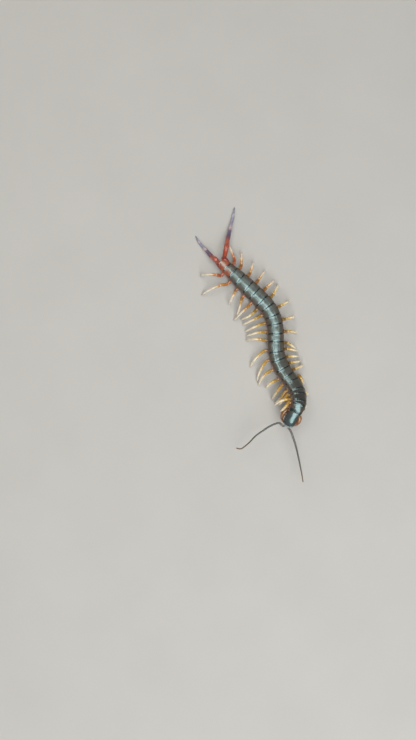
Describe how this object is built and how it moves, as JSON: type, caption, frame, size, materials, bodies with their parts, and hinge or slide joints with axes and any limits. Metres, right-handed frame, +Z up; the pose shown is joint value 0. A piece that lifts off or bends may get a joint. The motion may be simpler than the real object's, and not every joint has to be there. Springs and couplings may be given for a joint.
{
  "type": "giant centipede",
  "caption": "Large centipede on bent legs, front end raised, with dark back plates, golden legs, long feelers and red trailing rear legs.",
  "frame": {"origin": "middle of the bounding box's base, on the floor that the feet stand on", "axes": "+Z up, +Y from the head's end towards the tail, +X to the animal's left"},
  "size_m": [0.0488, 0.1184, 0.0128],
  "materials": {
    "back_plate": "glossy",
    "head_plate": "glossy",
    "eye_lens": "glossy",
    "antenna_shell": "satin",
    "forcipule_shell": "glossy",
    "leg_yellow": "satin",
    "leg_orange": "satin",
    "leg_red": "glossy"
  },
  "bodies": {
    "root": {"antenna_left": "antenna_shell", "antenna_right": "antenna_shell", "eye_left": "eye_lens", "eye_right": "eye_lens", "forcipule_base": "forcipule_shell", "forcipule_left": "forcipule_shell", "forcipule_right": "forcipule_shell", "head": "head_plate", "leg_left_01": "leg_orange", "leg_left_02": "leg_yellow", "leg_left_03": "leg_yellow", "leg_left_04": "leg_yellow", "leg_left_05": "leg_yellow", "leg_left_06": "leg_yellow", "leg_left_07": "leg_yellow", "leg_left_08": "leg_yellow", "leg_left_09": "leg_yellow", "leg_left_10": "leg_yellow", "leg_left_11": "leg_yellow", "leg_left_12": "leg_yellow", "leg_left_13": "leg_yellow", "leg_left_14": "leg_yellow", "leg_left_15": "leg_yellow", "leg_left_16": "leg_orange", "leg_left_17": "leg_orange", "leg_left_18": "leg_orange", "leg_left_19": "leg_orange", "leg_left_20": "leg_orange", "leg_left_21": "leg_red", "leg_right_01": "leg_orange", "leg_right_02": "leg_yellow", "leg_right_03": "leg_yellow", "leg_right_04": "leg_yellow", "leg_right_05": "leg_yellow", "leg_right_06": "leg_yellow", "leg_right_07": "leg_yellow", "leg_right_08": "leg_yellow", "leg_right_09": "leg_yellow", "leg_right_10": "leg_yellow", "leg_right_11": "leg_yellow", "leg_right_12": "leg_yellow", "leg_right_13": "leg_yellow", "leg_right_14": "leg_yellow", "leg_right_15": "leg_yellow", "leg_right_16": "leg_orange", "leg_right_17": "leg_orange", "leg_right_18": "leg_orange", "leg_right_19": "leg_orange", "leg_right_20": "leg_orange", "leg_right_21": "leg_red", "trunk_1": "back_plate", "trunk_2": "back_plate", "trunk_3": "back_plate", "trunk_4": "back_plate", "trunk_5": "back_plate", "trunk_6": "back_plate", "trunk_7": "back_plate"}
  },
  "joints": []
}
